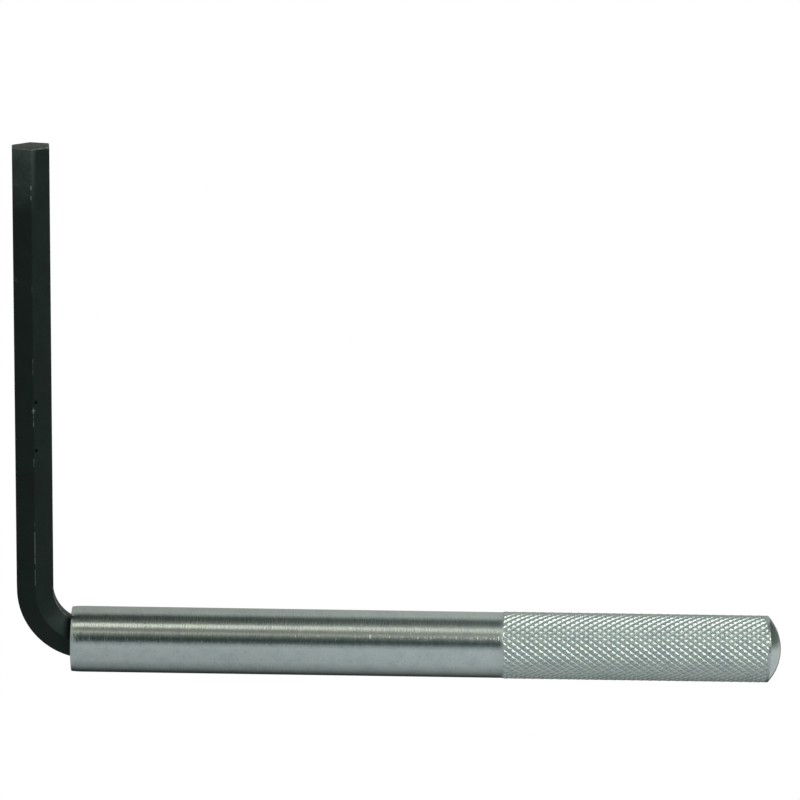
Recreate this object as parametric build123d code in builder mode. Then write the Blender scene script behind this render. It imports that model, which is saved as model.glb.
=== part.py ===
from build123d import *
import os
from math import asin, atan2, cos, hypot, radians, sin, sqrt, tan

# Brake caliper wrench: a bent hexagon key pressed into a turned bar with a knurled grip.
# Millimetres. It lies as it comes to rest on a bench, the plane Z = 0: the bar along X on
# its knurled grip, mouth at -X and dome at +X, and the key's long arm along +Y with its
# tip touching the bench. The origin is the middle of its footprint.

# Hexagon key
across_flats = 7.0
edge_rounding = 0.3     # along the six long edges
long_arm = 100.0        # tip to the outer flat of the short arm
short_arm = 34.0        # outer flat of the long arm to the end inside the bar
bend_radius = 10.5      # on the centreline, so the inside of the bend is one across-flats
bend_angle = 89.5       # the arms stand half a degree open of square
flats_turn = 5.0        # the flats are turned a little from square to the bend
tip_slant = 2.0         # the sheared tip is a little out of square
tip_chamfer = 0.15

# Bar
bar_length = 137.0      # mouth to the top of the dome
bar_diameter = 12.7
bar_chamfer = 0.3       # at the mouth
grip_diameter = 12.95   # over the crests of the knurl, which stand proud of the bar
grip_length = 51.5
dome_height = 2.5

# How the key sits in the bar
bend_depth = 3.4        # the bend ends this far inside the mouth
press_gap = 0.005       # key's edges to the bore: a press fit, drawn just clear
mouth_gap = 0.15        # key's bend to the flared mouth
end_gap = 1.0           # key's end to the bottom of the bore's straight wall
drill_point = 118.0

# The key's section: how far its rounded edges reach from the centre
corner_radius = across_flats / 2 / cos(radians(30))
rounding_centre = corner_radius - edge_rounding / cos(radians(30))
edge_reach = rounding_centre + edge_rounding
edge_angles = [radians(flats_turn + 30 + 60 * n) for n in range(6)]
half_width = max(rounding_centre * cos(a) + edge_rounding for a in edge_angles)
half_height = max(rounding_centre * sin(a) + edge_rounding for a in edge_angles)

# The bore, and the flare that lets the bend out of the mouth
bore_radius = edge_reach + press_gap
bore_depth = bend_depth - bend_radius - across_flats / 2 + short_arm + end_gap
point_depth = bore_radius / tan(radians(drill_point / 2))


def reach_at_mouth(angle):
    """How far one edge of the bend has left the bar's axis where it crosses the mouth."""
    edge_radius = bend_radius - edge_reach * cos(angle)
    rise = bend_radius - sqrt(edge_radius**2 - bend_depth**2)
    return hypot(rise, edge_reach * sin(angle))


flare_radius = mouth_gap + max(reach_at_mouth(a) for a in edge_angles)

# Where the bar lies, and how far the arm tips down to touch the bench
grip_radius = grip_diameter / 2
tip_reach = long_arm - across_flats / 2
lean = radians(90 - bend_angle)
arm_left = bend_depth - (bend_radius + half_width) * cos(lean) - (tip_reach - bend_radius) * sin(lean)
mouth_x = -(bar_length + arm_left) / 2
bar_y = -(tip_reach - grip_radius) / 2
dome_x = bar_length - dome_height
grip_x = dome_x - grip_length
tip_down = asin(grip_radius / hypot(tip_reach, half_height)) - atan2(half_height, tip_reach)

bar_start = (mouth_x, bar_y, grip_radius)
key_plane = Plane(bar_start, x_dir=(1, 0, 0), z_dir=(0, sin(tip_down), cos(tip_down)))
turning_plane = Plane(bar_start, x_dir=(1, 0, 0), z_dir=(0, -1, 0))

# Hexagon key: one length of hexagon stock, bent once and sheared off at the tip
with BuildPart() as hex_key:
    with BuildLine(key_plane) as centreline:
        short_run = Line((bore_depth - end_gap, 0), (bend_depth, 0))
        bend = JernArc(short_run @ 1, (-1, 0), bend_radius, -bend_angle)
        long_run = PolarLine(bend @ 1, tip_reach - bend_radius, 180 - bend_angle)
        waste = Line(long_run @ 1, long_run @ 1 + (long_run % 1) * across_flats)
    with BuildSketch(Plane(short_run @ 0, x_dir=key_plane.y_dir, z_dir=short_run % 0)) as section:
        RegularPolygon(across_flats / 2, 6, major_radius=False, rotation=30 + flats_turn)
        fillet(section.vertices(), edge_rounding)
    sweep(path=centreline.line)
    slant = (long_run % 1).rotate(Axis(long_run @ 1, key_plane.z_dir), tip_slant)
    split(bisect_by=Plane(long_run @ 1, z_dir=slant), keep=Keep.BOTTOM)
    tip_face = hex_key.faces().sort_by(Axis.Y)[-1]
    chamfer(tip_face.edges(), tip_chamfer)
hex_key.part.label = "hex_key"

# Bar: turned all over, bored for the key, its grip standing proud up to the dome
with BuildPart() as handle:
    with BuildSketch(turning_plane) as profile:
        with BuildLine():
            outline = Polyline(
                (0, 0),
                (0, bar_diameter / 2 - bar_chamfer),
                (bar_chamfer, bar_diameter / 2),
                (grip_x, bar_diameter / 2),
                (grip_x, grip_radius),
                (dome_x, grip_radius),
            )
            dome = TangentArc(
                (bar_length, 0), (dome_x, grip_radius), tangent=(0, 1), tangent_from_first=True
            )
            Line(outline @ 0, dome @ 0)
        make_face()
        with BuildLine():
            Polyline(
                (0, 0),
                (0, flare_radius),
                (bend_depth, bore_radius),
                (bore_depth, bore_radius),
                (bore_depth + point_depth, 0),
                close=True,
            )
        make_face(mode=Mode.SUBTRACT)
    revolve(axis=Axis(bar_start, (1, 0, 0)))
handle.part.label = "handle"

os.makedirs("parts", exist_ok=True)
export_step(hex_key.part, "parts/hex_key.step")
export_step(handle.part, "parts/handle.step")
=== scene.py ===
from math import asin, atan2, cos, pi, radians, sin, tan, tau

import bmesh
import bpy
from mathutils import Matrix, Vector


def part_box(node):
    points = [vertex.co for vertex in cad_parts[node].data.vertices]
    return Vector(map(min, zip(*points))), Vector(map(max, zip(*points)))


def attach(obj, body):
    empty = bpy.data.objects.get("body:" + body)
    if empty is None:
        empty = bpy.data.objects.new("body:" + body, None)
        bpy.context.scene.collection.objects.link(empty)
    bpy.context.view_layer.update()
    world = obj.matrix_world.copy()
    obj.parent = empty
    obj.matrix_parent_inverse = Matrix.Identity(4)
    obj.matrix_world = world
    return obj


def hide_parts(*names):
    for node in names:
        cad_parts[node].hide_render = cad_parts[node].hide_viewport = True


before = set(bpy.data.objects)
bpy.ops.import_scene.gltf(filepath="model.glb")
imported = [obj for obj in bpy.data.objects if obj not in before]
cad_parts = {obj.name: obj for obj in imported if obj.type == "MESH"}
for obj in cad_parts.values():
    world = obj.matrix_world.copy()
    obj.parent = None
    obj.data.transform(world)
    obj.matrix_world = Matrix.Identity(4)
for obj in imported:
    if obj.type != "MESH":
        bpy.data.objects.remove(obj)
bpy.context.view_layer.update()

mm = 0.001

# the mouth of the bar, on its axis
barLow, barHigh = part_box("handle")
mouth = Vector((barLow[0], (barLow[1] + barHigh[1]) / 2, barHigh[2] / 2))


def newTree(name):
    material = bpy.data.materials.new(name)
    material.use_nodes = True
    tree = material.node_tree
    return material, tree, tree.nodes["Principled BSDF"]


# an input is a fixed value, or another node's socket to link in
def node(tree, kind, inputs=None, **settings):
    made = tree.nodes.new(kind)
    for name, value in settings.items():
        setattr(made, name, value)
    for socket, value in (inputs or {}).items():
        if isinstance(value, bpy.types.NodeSocket):
            tree.links.new(value, made.inputs[socket])
        else:
            made.inputs[socket].default_value = value
    return made


def maths(tree, operation, *terms):
    return node(tree, "ShaderNodeMath", dict(enumerate(terms)), operation=operation).outputs[0]


def vectorMaths(tree, operation, *terms):
    made = node(tree, "ShaderNodeVectorMath", dict(enumerate(terms)), operation=operation)
    return made.outputs["Value" if operation in ("LENGTH", "DISTANCE") else "Vector"]


# goes from the first value of "to" at low, to the second at high, and holds past either
def between(tree, value, low, high, to=(0.0, 1.0), interpolation="LINEAR"):
    inputs = {"Value": value, "From Min": low, "From Max": high, "To Min": to[0], "To Max": to[1]}
    return node(tree, "ShaderNodeMapRange", inputs, interpolation_type=interpolation).outputs[0]


# the same over a span in millimetres
def overSpan(tree, value, span, most=1.0, interpolation="LINEAR"):
    return between(tree, value, span[0] * mm, span[1] * mm, (0.0, most), interpolation)


def mixed(tree, share, first, second, blend="MIX"):
    return node(tree, "ShaderNodeMixRGB", {0: share, 1: first, 2: second}, blend_type=blend).outputs[0]


def cloud(tree, place, scale, detail, roughness=0.6, distortion=0.0):
    inputs = {"Vector": place, "Scale": scale, "Detail": detail, "Roughness": roughness}
    return node(tree, "ShaderNodeTexNoise", {**inputs, "Distortion": distortion}).outputs["Fac"]


def ramp(tree, factor, stops, interpolation="LINEAR"):
    made = node(tree, "ShaderNodeValToRGB", {0: factor})
    made.color_ramp.interpolation = interpolation
    elements = made.color_ramp.elements
    while len(elements) < len(stops):
        elements.new(1.0)
    for element, (position, shade) in zip(elements, stops):
        element.position = position
        grey = isinstance(shade, (int, float))
        element.color = (shade, shade, shade, 1) if grey else (*shade, 1)
    return made.outputs["Color"]


# smooth all over, but for edges sharper than the angle
def fromMesh(bm, name, materials, place, sharpAngle):
    bmesh.ops.recalc_face_normals(bm, faces=bm.faces)
    bm.transform(place)
    mesh = bpy.data.meshes.new(name)
    bm.to_mesh(mesh)
    bm.free()
    for material in materials:
        mesh.materials.append(material)
    mesh.shade_smooth()
    mesh.set_sharp_from_angle(angle=radians(sharpAngle))
    made = bpy.data.objects.new(name, mesh)
    bpy.context.scene.collection.objects.link(made)
    return made


# The bar is a turned profile spun round its axis, its grip then rolled into diamonds.
# Sizes are in millimetres, and places along it run from its mouth.
bar = {
    "radius": 6.35,
    "length": 137.0,
    "domeHeight": 2.5,
    "domeSteps": 14,
    "mouthRounding": 0.12,
    "mouthCrown": 0.11,  # the mouth edge is eased down by this much
    "mouthEase": 1.8,  # over this length
    "bore": 4.0,
    "boreDepth": 24.4,
    "drillPoint": 2.4,
    "flare": 4.975,
    "flareDepth": 3.4,
    "rings": (4, 20, 40, 60, 80),  # edge loops on the plain shank
    "sharpAngle": 28,
    "gripStart": 83.0,
    "gripEnd": 134.5,
    "crest": 6.465,
    "rim": 6.43,
    "diamondsAround": 30,
    "diamondsAlong": 29.5,
    "stepsPerDiamond": 8,
    "grooveDepth": 0.18,
    "grooveShare": 0.55,  # how much of each diamond its straight-sided grooves take
    "diamondCrown": 0.05,  # each diamond is a little rounded on top
    "runIn": 0.45,
    "runOut": 0.7,
    "grooveFade": (0.0, 0.9),  # back from the rim
    # finish, by how far along the bar it is: the grip is the dullest. The plating colour also brightens along
    # the shank towards the grip, a painted reflection
    "platingWithPaintedReflection": [
        (0.0, (0.68, 0.765, 0.725)),
        (0.25, (0.68, 0.765, 0.725)),
        (0.58, (0.78, 0.88, 0.83)),
        (0.61, (0.72, 0.81, 0.77)),
    ],
    "roughness": [(0.0, 0.09), (0.25, 0.10), (0.6, 0.15), (0.61, 0.43), (0.975, 0.42), (0.985, 0.18)],
    "blotches": 420.0,
    "specks": 2200.0,
    "lineWidth": 0.3,  # turning lines round the bar
    "lineLength": 1.5,
    "lineRelief": 0.03,
}


def platedSteel():
    material, tree, shader = newTree("platedSteel")
    place = node(tree, "ShaderNodeTexCoord").outputs["Object"]
    fromMouth = vectorMaths(tree, "SUBTRACT", place, mouth)
    axes = node(tree, "ShaderNodeSeparateXYZ", {0: fromMouth}).outputs
    along = maths(tree, "MULTIPLY", axes["X"], 1 / (bar["length"] * mm))

    # turning lines, on the surface unrolled flat
    turn = maths(tree, "ARCTAN2", axes["Y"], axes["Z"])
    around = maths(tree, "MULTIPLY", turn, bar["radius"] * mm)
    unrolled = node(tree, "ShaderNodeCombineXYZ", {"X": axes["X"], "Y": around}).outputs[0]
    lineScale = (1 / (bar["lineWidth"] * mm), 1 / (bar["lineLength"] * mm), 1)
    lines = cloud(tree, vectorMaths(tree, "MULTIPLY", unrolled, lineScale), 1.0, 2.0, distortion=0.4)
    patchy = between(tree, lines, 0.3, 0.7, (-0.03, 0.04))
    rough = maths(tree, "ADD", ramp(tree, along, bar["roughness"]), patchy)
    relief = {"Strength": 1.0, "Distance": bar["lineRelief"] * mm, "Height": lines}
    bump = node(tree, "ShaderNodeBump", relief)

    blotches = cloud(tree, place, bar["blotches"], 4.0, 0.55)
    tint = ramp(tree, blotches, [(0.3, (0.90, 0.90, 0.93)), (0.5, (1, 1, 1)), (0.7, (1.04, 1.03, 1.02))])
    specks = cloud(tree, place, bar["specks"], 2.0)
    speckled = ramp(tree, specks, [(0.28, 0.80), (0.36, 0.97), (0.6, 1.0), (0.75, 1.03)])
    # the plating colour here holds a painted reflection: brighter along the shank
    tinted = mixed(tree, 1.0, ramp(tree, along, bar["platingWithPaintedReflection"]), tint, "MULTIPLY")
    shade = mixed(tree, 1.0, tinted, speckled, "MULTIPLY")
    tree.links.new(shade, shader.inputs["Base Color"])
    tree.links.new(rough, shader.inputs["Roughness"])
    tree.links.new(bump.outputs[0], shader.inputs["Normal"])
    shader.inputs["Metallic"].default_value = 1.0
    return material


def barProfile():
    r, soft, crown = bar["radius"], bar["mouthRounding"], bar["mouthCrown"]
    bore, boreDepth = bar["bore"], bar["boreDepth"]
    profile = [(boreDepth + bar["drillPoint"], 0), (boreDepth, bore)]
    profile += [(bar["flareDepth"], bore), (0, bar["flare"])]
    for a in (0, pi / 8, pi / 4, 3 * pi / 8, 0.45 * pi):
        profile.append((soft * (1 - cos(a)), r - crown - soft * (1 - sin(a))))
    for t in (0.1, 0.2, 0.35, 0.5, 0.65, 0.8, 1.0):
        profile.append((soft + t * bar["mouthEase"], r - crown * (1 - t) ** 2))
    profile += [(x, r) for x in (*bar["rings"], bar["gripStart"] - 0.1)]
    rows = round(bar["diamondsAlong"] * bar["stepsPerDiamond"])
    step = (bar["gripEnd"] - bar["gripStart"]) / rows
    profile += [(bar["gripStart"] + row * step, r) for row in range(rows)]
    domeRadius = (bar["rim"] ** 2 + bar["domeHeight"] ** 2) / (2 * bar["domeHeight"])
    rimAngle = asin(bar["rim"] / domeRadius)
    for n in range(bar["domeSteps"] + 1):
        a = rimAngle * (1 - n / bar["domeSteps"])
        profile.append((bar["length"] - domeRadius * (1 - cos(a)), domeRadius * sin(a)))
    return profile


# how far a point stands from the nearest groove each way: 0 in a groove, 1 midway
def grooves(x, turn):
    pitch = (bar["gripEnd"] - bar["gripStart"]) / bar["diamondsAlong"]
    along = (x - bar["gripStart"]) / pitch
    around = turn / tau * bar["diamondsAround"]
    return [1 - abs(2 * (groove % 1.0) - 1) for groove in (along + around, along - around)]


def knurledRadius(x, turn):
    out = min(grooves(x, turn))
    groove = bar["grooveDepth"] * max(0, 1 - out / bar["grooveShare"])
    cut = bar["diamondCrown"] * (1 - out) ** 2 + groove
    toRim = bar["gripEnd"] - x
    near, far = bar["grooveFade"]
    cut *= min(1, max(0, (toRim - near) / (far - near)))
    runIn = min(1, (x - bar["gripStart"]) / bar["runIn"])
    height = bar["radius"] + (bar["crest"] - cut - bar["radius"]) * runIn
    runOut = min(1, toRim / bar["runOut"])
    return bar["rim"] + (height - bar["rim"]) * runOut


# cuts a face from corner to corner, along whichever groove it is nearer
def splitAlongGroove(face):
    turns = [atan2(v.co.y, v.co.z) for v in face.verts]
    middle = face.calc_center_median()
    first, second = grooves(middle.x, atan2(middle.y, middle.z))
    rising = (face.verts[0].co.x < face.verts[2].co.x) == (sin(turns[2] - turns[0]) > 0)
    one = 0 if rising == (second < first) else 1
    bmesh.utils.face_split(face, face.verts[one], face.verts[one + 2])


def makeBar():
    bm = bmesh.new()
    points = [bm.verts.new((x, 0, radius)) for x, radius in barProfile()]
    edges = [bm.edges.new(pair) for pair in zip(points, points[1:])]
    steps = bar["diamondsAround"] * bar["stepsPerDiamond"]
    bmesh.ops.spin(
        bm, geom=points + edges, cent=(0, 0, 0), axis=(1, 0, 0), angle=tau, steps=steps, use_merge=True
    )
    bmesh.ops.remove_doubles(bm, verts=bm.verts, dist=0.0005)

    grip = [f for f in bm.faces if bar["gripStart"] < f.calc_center_median().x < bar["gripEnd"]]
    for face in grip:
        splitAlongGroove(face)
    for v in bm.verts:
        if bar["gripStart"] <= v.co.x <= bar["gripEnd"] + 0.0001:
            turn = atan2(v.co.y, v.co.z)
            radius = knurledRadius(v.co.x, turn)
            v.co.y, v.co.z = radius * sin(turn), radius * cos(turn)
    place = Matrix.Translation(mouth) @ Matrix.Scale(mm, 4)
    return fromMesh(bm, "knurledBar", [platedSteel()], place, bar["sharpAngle"])


knurledBar = makeBar()
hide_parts("handle")
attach(knurledBar, "root")
print("bar built")

# The key is hexagon stock drawn along its path. Its own axes start at the mouth of the bar:
# X along the bar, Y up the long arm, Z out of the plane of the bend. Sizes are in millimetres.
key = {
    "acrossFlats": 7.0,
    "edgeRounding": 0.3,
    "flatsTurn": 5.0,
    "bendRadius": 10.5,
    "bendAngle": 89.5,
    "bendDepth": 3.4,  # the bend starts this far inside the bar
    "end": 23.4,  # of the short arm
    "reach": 96.49,  # of the long arm
    "slant": 2.0,
    "tipRounding": 0.12,
    "tipDown": 1.4818,
    "sharpAngle": 25,
    "shortArmSteps": 4,
    "bendSteps": 36,
    "longArmSteps": 200,
    # where the black has rubbed off the front edge: from, to, how much, up the long arm
    "rubbed": [
        (11.5, 14.5, 0.4),
        (16.0, 22.0, 0.6),
        (34.8, 36.7, 0.8),
        (42.6, 46.5, 0.9),
        (53.0, 56.0, 0.4),
        (86.7, 87.2, 1.0),
        (88.6, 89.2, 1.0),
    ],
    "front": (3.6, 3.8),
    "edge": (3.955, 3.98),  # out from the middle of the section
    "inside": (-3.3, -3.5),  # the inside of the bend, where a painted highlight runs along the edge
    "insideHeight": (12, 9),
    "tipRim": (0.34, 0.19),  # back from the end
    "tipWear": 0.8,
    "paintedSheenHeight": (82, 97),  # painted sheen: paler up here, on the side away from the bar
    "paintedSheenSide": (-0.6, 0.2),
    "paintedSheenColour": (0.075, 0.098, 0.085),
    "bareAndHighlightColour": (0.20, 0.22, 0.20),
    "chip": (-7.06, 46.1, 4.0),
    "pits": [(-6.65, 47.7, 3.72), (-6.55, 38.3, 3.72)],
    "markSize": 0.4,
    "patches": 260.0,
    "grain": 2600.0,
    "relief": 0.012,
}


# one at the centre, falling to nothing at the edge of the mark
def spot(tree, own, centre):
    away = vectorMaths(tree, "DISTANCE", own, Vector(centre) * mm)
    return overSpan(tree, away, (key["markSize"], key["markSize"] * 0.5))


def blackSteel():
    material, tree, shader = newTree("blackSteel")
    place = node(tree, "ShaderNodeTexCoord").outputs["Object"]

    # the key's own axes, and how far across its section a point is, outwards from the bend
    tilt = {"Vector": place, "Center": mouth, "Angle": radians(key["tipDown"])}
    level = node(tree, "ShaderNodeVectorRotate", tilt, rotation_type="X_AXIS").outputs[0]
    own = vectorMaths(tree, "SUBTRACT", level, mouth)
    axes = node(tree, "ShaderNodeSeparateXYZ", {0: own}).outputs
    bendCentre = Vector((key["bendDepth"], key["bendRadius"], 0)) * mm
    inPlane = vectorMaths(tree, "MULTIPLY", vectorMaths(tree, "SUBTRACT", own, bendCentre), (1, 1, 0))
    outside = vectorMaths(tree, "MINIMUM", inPlane, (0, 0, 0))
    sideways = maths(tree, "SUBTRACT", vectorMaths(tree, "LENGTH", outside), key["bendRadius"] * mm)
    section = node(tree, "ShaderNodeCombineXYZ", {"X": sideways, "Y": axes["Z"]}).outputs[0]
    onEdge = overSpan(tree, vectorMaths(tree, "LENGTH", section), key["edge"])

    patches = cloud(tree, place, key["patches"], 5.0)
    grain = cloud(tree, place, key["grain"], 3.0)
    blacks = [
        (0.3, (0.010, 0.010, 0.010)),
        (0.45, (0.008, 0.013, 0.011)),
        (0.6, (0.010, 0.017, 0.0145)),
        (0.75, (0.014, 0.017, 0.013)),
    ]

    # painted sheen: paler towards the tip, on the outer side, in patches
    up = overSpan(tree, axes["Y"], key["paintedSheenHeight"], interpolation="SMOOTHSTEP")
    paintedSheenOnOuterSide = maths(tree, "MULTIPLY", up, overSpan(tree, sideways, key["paintedSheenSide"]))
    paintedSheenShare = maths(tree, "MULTIPLY", paintedSheenOnOuterSide, between(tree, patches, 0.3, 0.65, (0.4, 1.0)))
    blackWithPaintedSheen = mixed(tree, paintedSheenShare, ramp(tree, patches, blacks), (*key["paintedSheenColour"], 1))

    # rubbed edges: long runs at the front and flecks elsewhere, and a painted highlight run on the inside of
    # the bend
    rampLength = 100
    stops = [(0.0, 0.0)]
    for low, high, much in key["rubbed"]:
        stops += [(low / rampLength, much), (high / rampLength, 0.0)]
    share = maths(tree, "MULTIPLY", axes["Y"], 1 / (rampLength * mm))
    runs = ramp(tree, share, stops, "CONSTANT")
    frontRuns = maths(tree, "MULTIPLY", runs, overSpan(tree, axes["Z"], key["front"]))
    rubbed = maths(tree, "MAXIMUM", frontRuns, between(tree, patches, 0.62, 0.74, (0.0, 0.4)))
    # a painted highlight along the inner edge near the bend, where its flat catches the light
    highlightNearBend = overSpan(tree, axes["Y"], key["insideHeight"])
    insideRun = maths(tree, "MULTIPLY", overSpan(tree, sideways, key["inside"]), highlightNearBend)
    rubbed = maths(tree, "MAXIMUM", rubbed, insideRun)
    edgeWearAndHighlight = maths(tree, "MULTIPLY", rubbed, onEdge)
    tipSpan = [key["reach"] - back for back in key["tipRim"]]
    atTip = overSpan(tree, axes["Y"], tipSpan, key["tipWear"])
    edgeWearAndHighlight = maths(tree, "MAXIMUM", edgeWearAndHighlight, atTip)

    # the wear and the painted highlight are broken up by the grain, and show in the colour of bare steel
    broken = between(tree, grain, 0.36, 0.55)
    edgeWearAndHighlight = maths(tree, "MULTIPLY", edgeWearAndHighlight, broken)
    chipped = maths(tree, "MULTIPLY", spot(tree, own, key["chip"]), broken)
    bareAndHighlight = maths(tree, "MAXIMUM", edgeWearAndHighlight, chipped)
    wornAndHighlighted = mixed(tree, bareAndHighlight, blackWithPaintedSheen, (*key["bareAndHighlightColour"], 1))
    pit = maths(tree, "MAXIMUM", *[spot(tree, own, centre) for centre in key["pits"]])
    shade = mixed(tree, pit, wornAndHighlighted, (0.001, 0.001, 0.001, 1))

    rough = between(tree, patches, 0.3, 0.7, (0.36, 0.5))
    sunk = maths(tree, "MULTIPLY_ADD", pit, -3.0, grain)
    relief = {"Strength": 0.5, "Distance": key["relief"] * mm, "Height": sunk}
    bump = node(tree, "ShaderNodeBump", relief)
    shine = between(tree, pit, 0.0, 1.0, (0.25, 0.02))
    tree.links.new(shade, shader.inputs["Base Color"])
    tree.links.new(rough, shader.inputs["Roughness"])
    tree.links.new(bump.outputs[0], shader.inputs["Normal"])
    tree.links.new(shine, shader.inputs["Specular IOR Level"])
    shader.inputs["Specular Tint"].default_value = (0.72, 1.0, 0.9, 1)
    return material


def shearedSteel():
    material, tree, shader = newTree("shearedSteel")
    place = node(tree, "ShaderNodeTexCoord").outputs["Object"]
    grain = cloud(tree, place, 1500.0, 4.0, 0.65)
    shade = ramp(tree, grain, [(0.35, (0.035, 0.038, 0.031)), (0.65, (0.085, 0.092, 0.078))])
    bump = node(tree, "ShaderNodeBump", {"Strength": 0.4, "Distance": 0.05 * mm, "Height": grain})
    tree.links.new(shade, shader.inputs["Base Color"])
    tree.links.new(bump.outputs[0], shader.inputs["Normal"])
    shader.inputs["Metallic"].default_value = 0.6
    shader.inputs["Roughness"].default_value = 0.5
    return material


# each stretch spins the last face on, and gives back the new one
def carryOn(bm, face, steps, centre=(0, 0, 0), angle=0, way=(0, 0, 0)):
    moved = bmesh.ops.spin(
        bm, geom=face, cent=centre, axis=(0, 0, 1), dvec=Vector(way) / steps, angle=angle, steps=steps
    )
    return [g for g in moved["geom_last"] if isinstance(g, bmesh.types.BMFace)]


def makeKey():
    bm = bmesh.new()
    cornerRadius = key["acrossFlats"] / 2 / cos(pi / 6)
    bmesh.ops.create_circle(bm, cap_ends=True, segments=6, radius=cornerRadius)
    tangent = key["edgeRounding"] * tan(pi / 6)
    bmesh.ops.bevel(
        bm, geom=bm.verts[:], affect="VERTICES", offset=tangent, offset_type="OFFSET", segments=3, profile=0.5
    )
    # the section stands across the short arm, one corner up
    turned = Matrix.Rotation(-radians(key["flatsTurn"]), 3, "Z")
    bmesh.ops.rotate(bm, verts=bm.verts, cent=(0, 0, 0), matrix=turned)
    across = Matrix(((0, 0, -1, 0), (1, 0, 0, 0), (0, 1, 0, 0), (0, 0, 0, 1)))
    bm.transform(Matrix.Translation((key["end"], 0, 0)) @ across)

    face = carryOn(bm, bm.faces[:], key["shortArmSteps"], way=(key["bendDepth"] - key["end"], 0, 0))
    turn = radians(key["bendAngle"])
    centre = (key["bendDepth"], key["bendRadius"], 0)
    face = carryOn(bm, face, key["bendSteps"], centre=centre, angle=-turn)
    armWay = Vector((cos(pi - turn), sin(pi - turn), 0))
    face = carryOn(bm, face, key["longArmSteps"], way=armWay * (key["reach"] - key["bendRadius"]))

    # the shear leaves the end a little out of square
    sideWay = Vector((armWay.y, -armWay.x, 0))
    tip = face[0]
    tipCentre = sum((v.co for v in tip.verts), Vector()) / len(tip.verts)
    for v in tip.verts:
        v.co += armWay * (v.co - tipCentre).dot(sideWay) * tan(radians(key["slant"]))
    tip.material_index = 1
    bmesh.ops.bevel(
        bm, geom=tip.edges[:], affect="EDGES", offset=key["tipRounding"], segments=2, profile=0.5, material=0
    )
    tipped = Matrix.Rotation(-radians(key["tipDown"]), 4, "X")
    place = Matrix.Translation(mouth) @ tipped @ Matrix.Scale(mm, 4)
    return fromMesh(bm, "hexKey", [blackSteel(), shearedSteel()], place, key["sharpAngle"])


hexKey = makeKey()
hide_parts("hex_key")
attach(hexKey, "root")
print("key built")

shot = {
    "aim": Vector((-0.323, 3.389, 5.223)) * mm,
    "tilt": -15.143,
    "swing": -0.860,
    "roll": 1.134,
    "distance": 814.7 * mm,
    "lens": 192.37,
}


def makeCamera():
    lens = bpy.data.cameras.new("camera")
    lens.lens = shot["lens"]
    lens.sensor_width = 36
    made = bpy.data.objects.new("camera", lens)
    bpy.context.scene.collection.objects.link(made)
    made.matrix_world = (
        Matrix.Translation(shot["aim"])
        @ Matrix.Rotation(radians(shot["swing"]), 4, "Y")
        @ Matrix.Rotation(radians(shot["tilt"]), 4, "X")
        @ Matrix.Rotation(radians(shot["roll"]), 4, "Z")
        @ Matrix.Translation((0, 0, shot["distance"]))
    )
    bpy.context.scene.camera = made
    return made


# What stands round the bench. "round" goes by the angle from the camera, below it and then up
# over the tip: first as the mouth end sees it, then as the grip end does.
studio = {
    "round": [
        (-180, (0.04, 0.045, 0.045), (0.04, 0.045, 0.045)),
        (-150, (0.025, 0.03, 0.03), (0.03, 0.032, 0.032)),
        (-134, (0.05, 0.06, 0.06), (0.08, 0.085, 0.085)),
        (-106, (0.21, 0.23, 0.23), (0.25, 0.26, 0.27)),
        (-75, (0.35, 0.37, 0.38), (0.38, 0.395, 0.42)),
        (-20, (0.42, 0.44, 0.45), (0.42, 0.44, 0.47)),
        (-9, (0.27, 0.29, 0.29), (0.29, 0.31, 0.32)),
        (-3, (0.07, 0.085, 0.09), (0.13, 0.15, 0.16)),
        (5, (0.03, 0.045, 0.042), (0.05, 0.065, 0.06)),
        (12, (0.075, 0.085, 0.08), (0.06, 0.075, 0.07)),
        (20, (0.20, 0.20, 0.175), (0.14, 0.15, 0.14)),
        (28, (0.50, 0.48, 0.43), (0.27, 0.28, 0.265)),
        (36, (0.22, 0.21, 0.18), (0.25, 0.255, 0.245)),
        (43, (0.26, 0.25, 0.21), (0.30, 0.305, 0.295)),
        (50, (1.05, 1.0, 0.88), (0.42, 0.42, 0.41)),
        (57, (1.02, 0.98, 0.86), (0.50, 0.50, 0.485)),
        (64, (0.19, 0.19, 0.16), (0.36, 0.375, 0.36)),
        (74, (0.065, 0.07, 0.058), (0.17, 0.185, 0.175)),
        (82, (0.05, 0.056, 0.047), (0.12, 0.135, 0.13)),
        (93, (0.055, 0.065, 0.055), (0.12, 0.135, 0.13)),
        (102, (0.22, 0.23, 0.22), (0.26, 0.275, 0.27)),
        (112, (0.36, 0.37, 0.35), (0.43, 0.44, 0.44)),
        (180, (0.33, 0.34, 0.32), (0.38, 0.385, 0.375)),
    ],
    # to the right, by height
    "right": [
        (0.0, (0.03, 0.035, 0.035)),
        (0.12, (0.10, 0.11, 0.11)),
        (0.24, (0.46, 0.48, 0.48)),
        (0.47, (0.54, 0.56, 0.56)),
        (0.53, (0.14, 0.16, 0.15)),
        (0.75, (0.05, 0.06, 0.055)),
        (1.0, (0.16, 0.18, 0.17)),
    ],
    # to the left, by how far out
    "left": [(0.1, (0.42, 0.44, 0.43)), (0.5, (0.36, 0.38, 0.37)), (1.0, (0.28, 0.30, 0.29))],
    # how far sideways each one takes over
    "toGrip": (-0.04, 0.012),
    "toRight": (0.32, 0.5),
    "toLeft": (-0.18, -0.3),
}


# white to the camera alone, so that the background stays plain
def whiteToCamera(tree, shader, white):
    seen = node(tree, "ShaderNodeLightPath").outputs["Is Camera Ray"]
    return node(tree, "ShaderNodeMixShader", {0: seen, 1: shader.outputs[0], 2: white.outputs[0]}).outputs[0]


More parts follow.
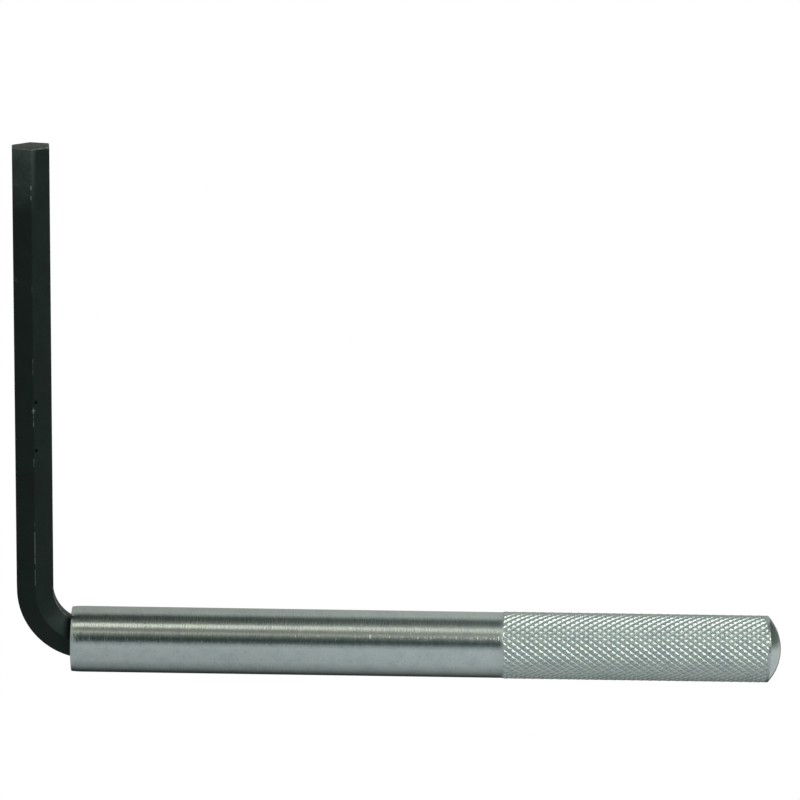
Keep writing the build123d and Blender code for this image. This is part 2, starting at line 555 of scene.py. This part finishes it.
def makeWorld():
    world = bpy.data.worlds.new("studio")
    bpy.context.scene.world = world
    world.use_nodes = True
    tree = world.node_tree
    tree.nodes.clear()
    way = node(tree, "ShaderNodeTexCoord").outputs["Generated"]
    levelled = {"Vector": way, "Angle": radians(-shot["tilt"])}
    fromCamera = node(tree, "ShaderNodeVectorRotate", levelled, rotation_type="X_AXIS").outputs[0]
    axes = node(tree, "ShaderNodeSeparateXYZ", {0: fromCamera}).outputs
    angle = maths(tree, "ARCTAN2", axes["Y"], axes["Z"])
    fraction = between(tree, angle, -pi, pi)
    height = between(tree, axes["Y"], -1.0, 1.0)
    outLeft = maths(tree, "MULTIPLY", axes["X"], -1.0)

    fromMouth = ramp(tree, fraction, [((a + 180) / 360, shade) for a, shade, _ in studio["round"]])
    fromGrip = ramp(tree, fraction, [((a + 180) / 360, shade) for a, _, shade in studio["round"]])
    toGrip = between(tree, axes["X"], *studio["toGrip"], interpolation="SMOOTHSTEP")
    toRight = between(tree, axes["X"], *studio["toRight"], interpolation="SMOOTHSTEP")
    toLeft = between(tree, axes["X"], *studio["toLeft"], interpolation="SMOOTHSTEP")
    middle = mixed(tree, toGrip, fromMouth, fromGrip)
    withRight = mixed(tree, toRight, middle, ramp(tree, height, studio["right"]))
    withLeft = mixed(tree, toLeft, withRight, ramp(tree, outLeft, studio["left"]))
    room = node(tree, "ShaderNodeBackground", {0: withLeft})
    white = node(tree, "ShaderNodeBackground", {0: (1, 1, 1, 1)})
    node(tree, "ShaderNodeOutputWorld", {0: whiteToCamera(tree, room, white)})


def makeFloor():
    bm = bmesh.new()
    bmesh.ops.create_grid(bm, x_segments=1, y_segments=1, size=1.5)
    mesh = bpy.data.meshes.new("floor")
    bm.to_mesh(mesh)
    bm.free()
    material, tree, shader = newTree("paleFloor")
    shader.inputs["Base Color"].default_value = (0.8, 0.8, 0.8, 1)
    shader.inputs["Roughness"].default_value = 0.8
    white = node(tree, "ShaderNodeEmission", {0: (1, 1, 1, 1)})
    tree.links.new(whiteToCamera(tree, shader, white), tree.nodes["Material Output"].inputs["Surface"])
    mesh.materials.append(material)
    made = bpy.data.objects.new("floor", mesh)
    bpy.context.scene.collection.objects.link(made)
    made.visible_glossy = False


# in the camera's own axes: right, up and towards it
softBox = {
    "way": (0.65, 0.52, 0.55),
    "distance": 0.8,
    "size": (0.5, 1.0),
    "power": 4.0,
}


def makeSoftBox(camera):
    light = bpy.data.lights.new("upperRight", "AREA")
    light.shape = "RECTANGLE"
    light.size, light.size_y = softBox["size"]
    light.energy = softBox["power"]
    made = bpy.data.objects.new("upperRight", light)
    bpy.context.scene.collection.objects.link(made)
    away = camera.matrix_world.to_3x3() @ Vector(softBox["way"]).normalized()
    made.location = shot["aim"] + away * softBox["distance"]
    made.rotation_euler = away.to_track_quat("Z", "Y").to_euler()


camera = makeCamera()
makeWorld()
makeFloor()
makeSoftBox(camera)

scene = bpy.context.scene
scene.view_settings.view_transform = "Standard"
print("studio set")
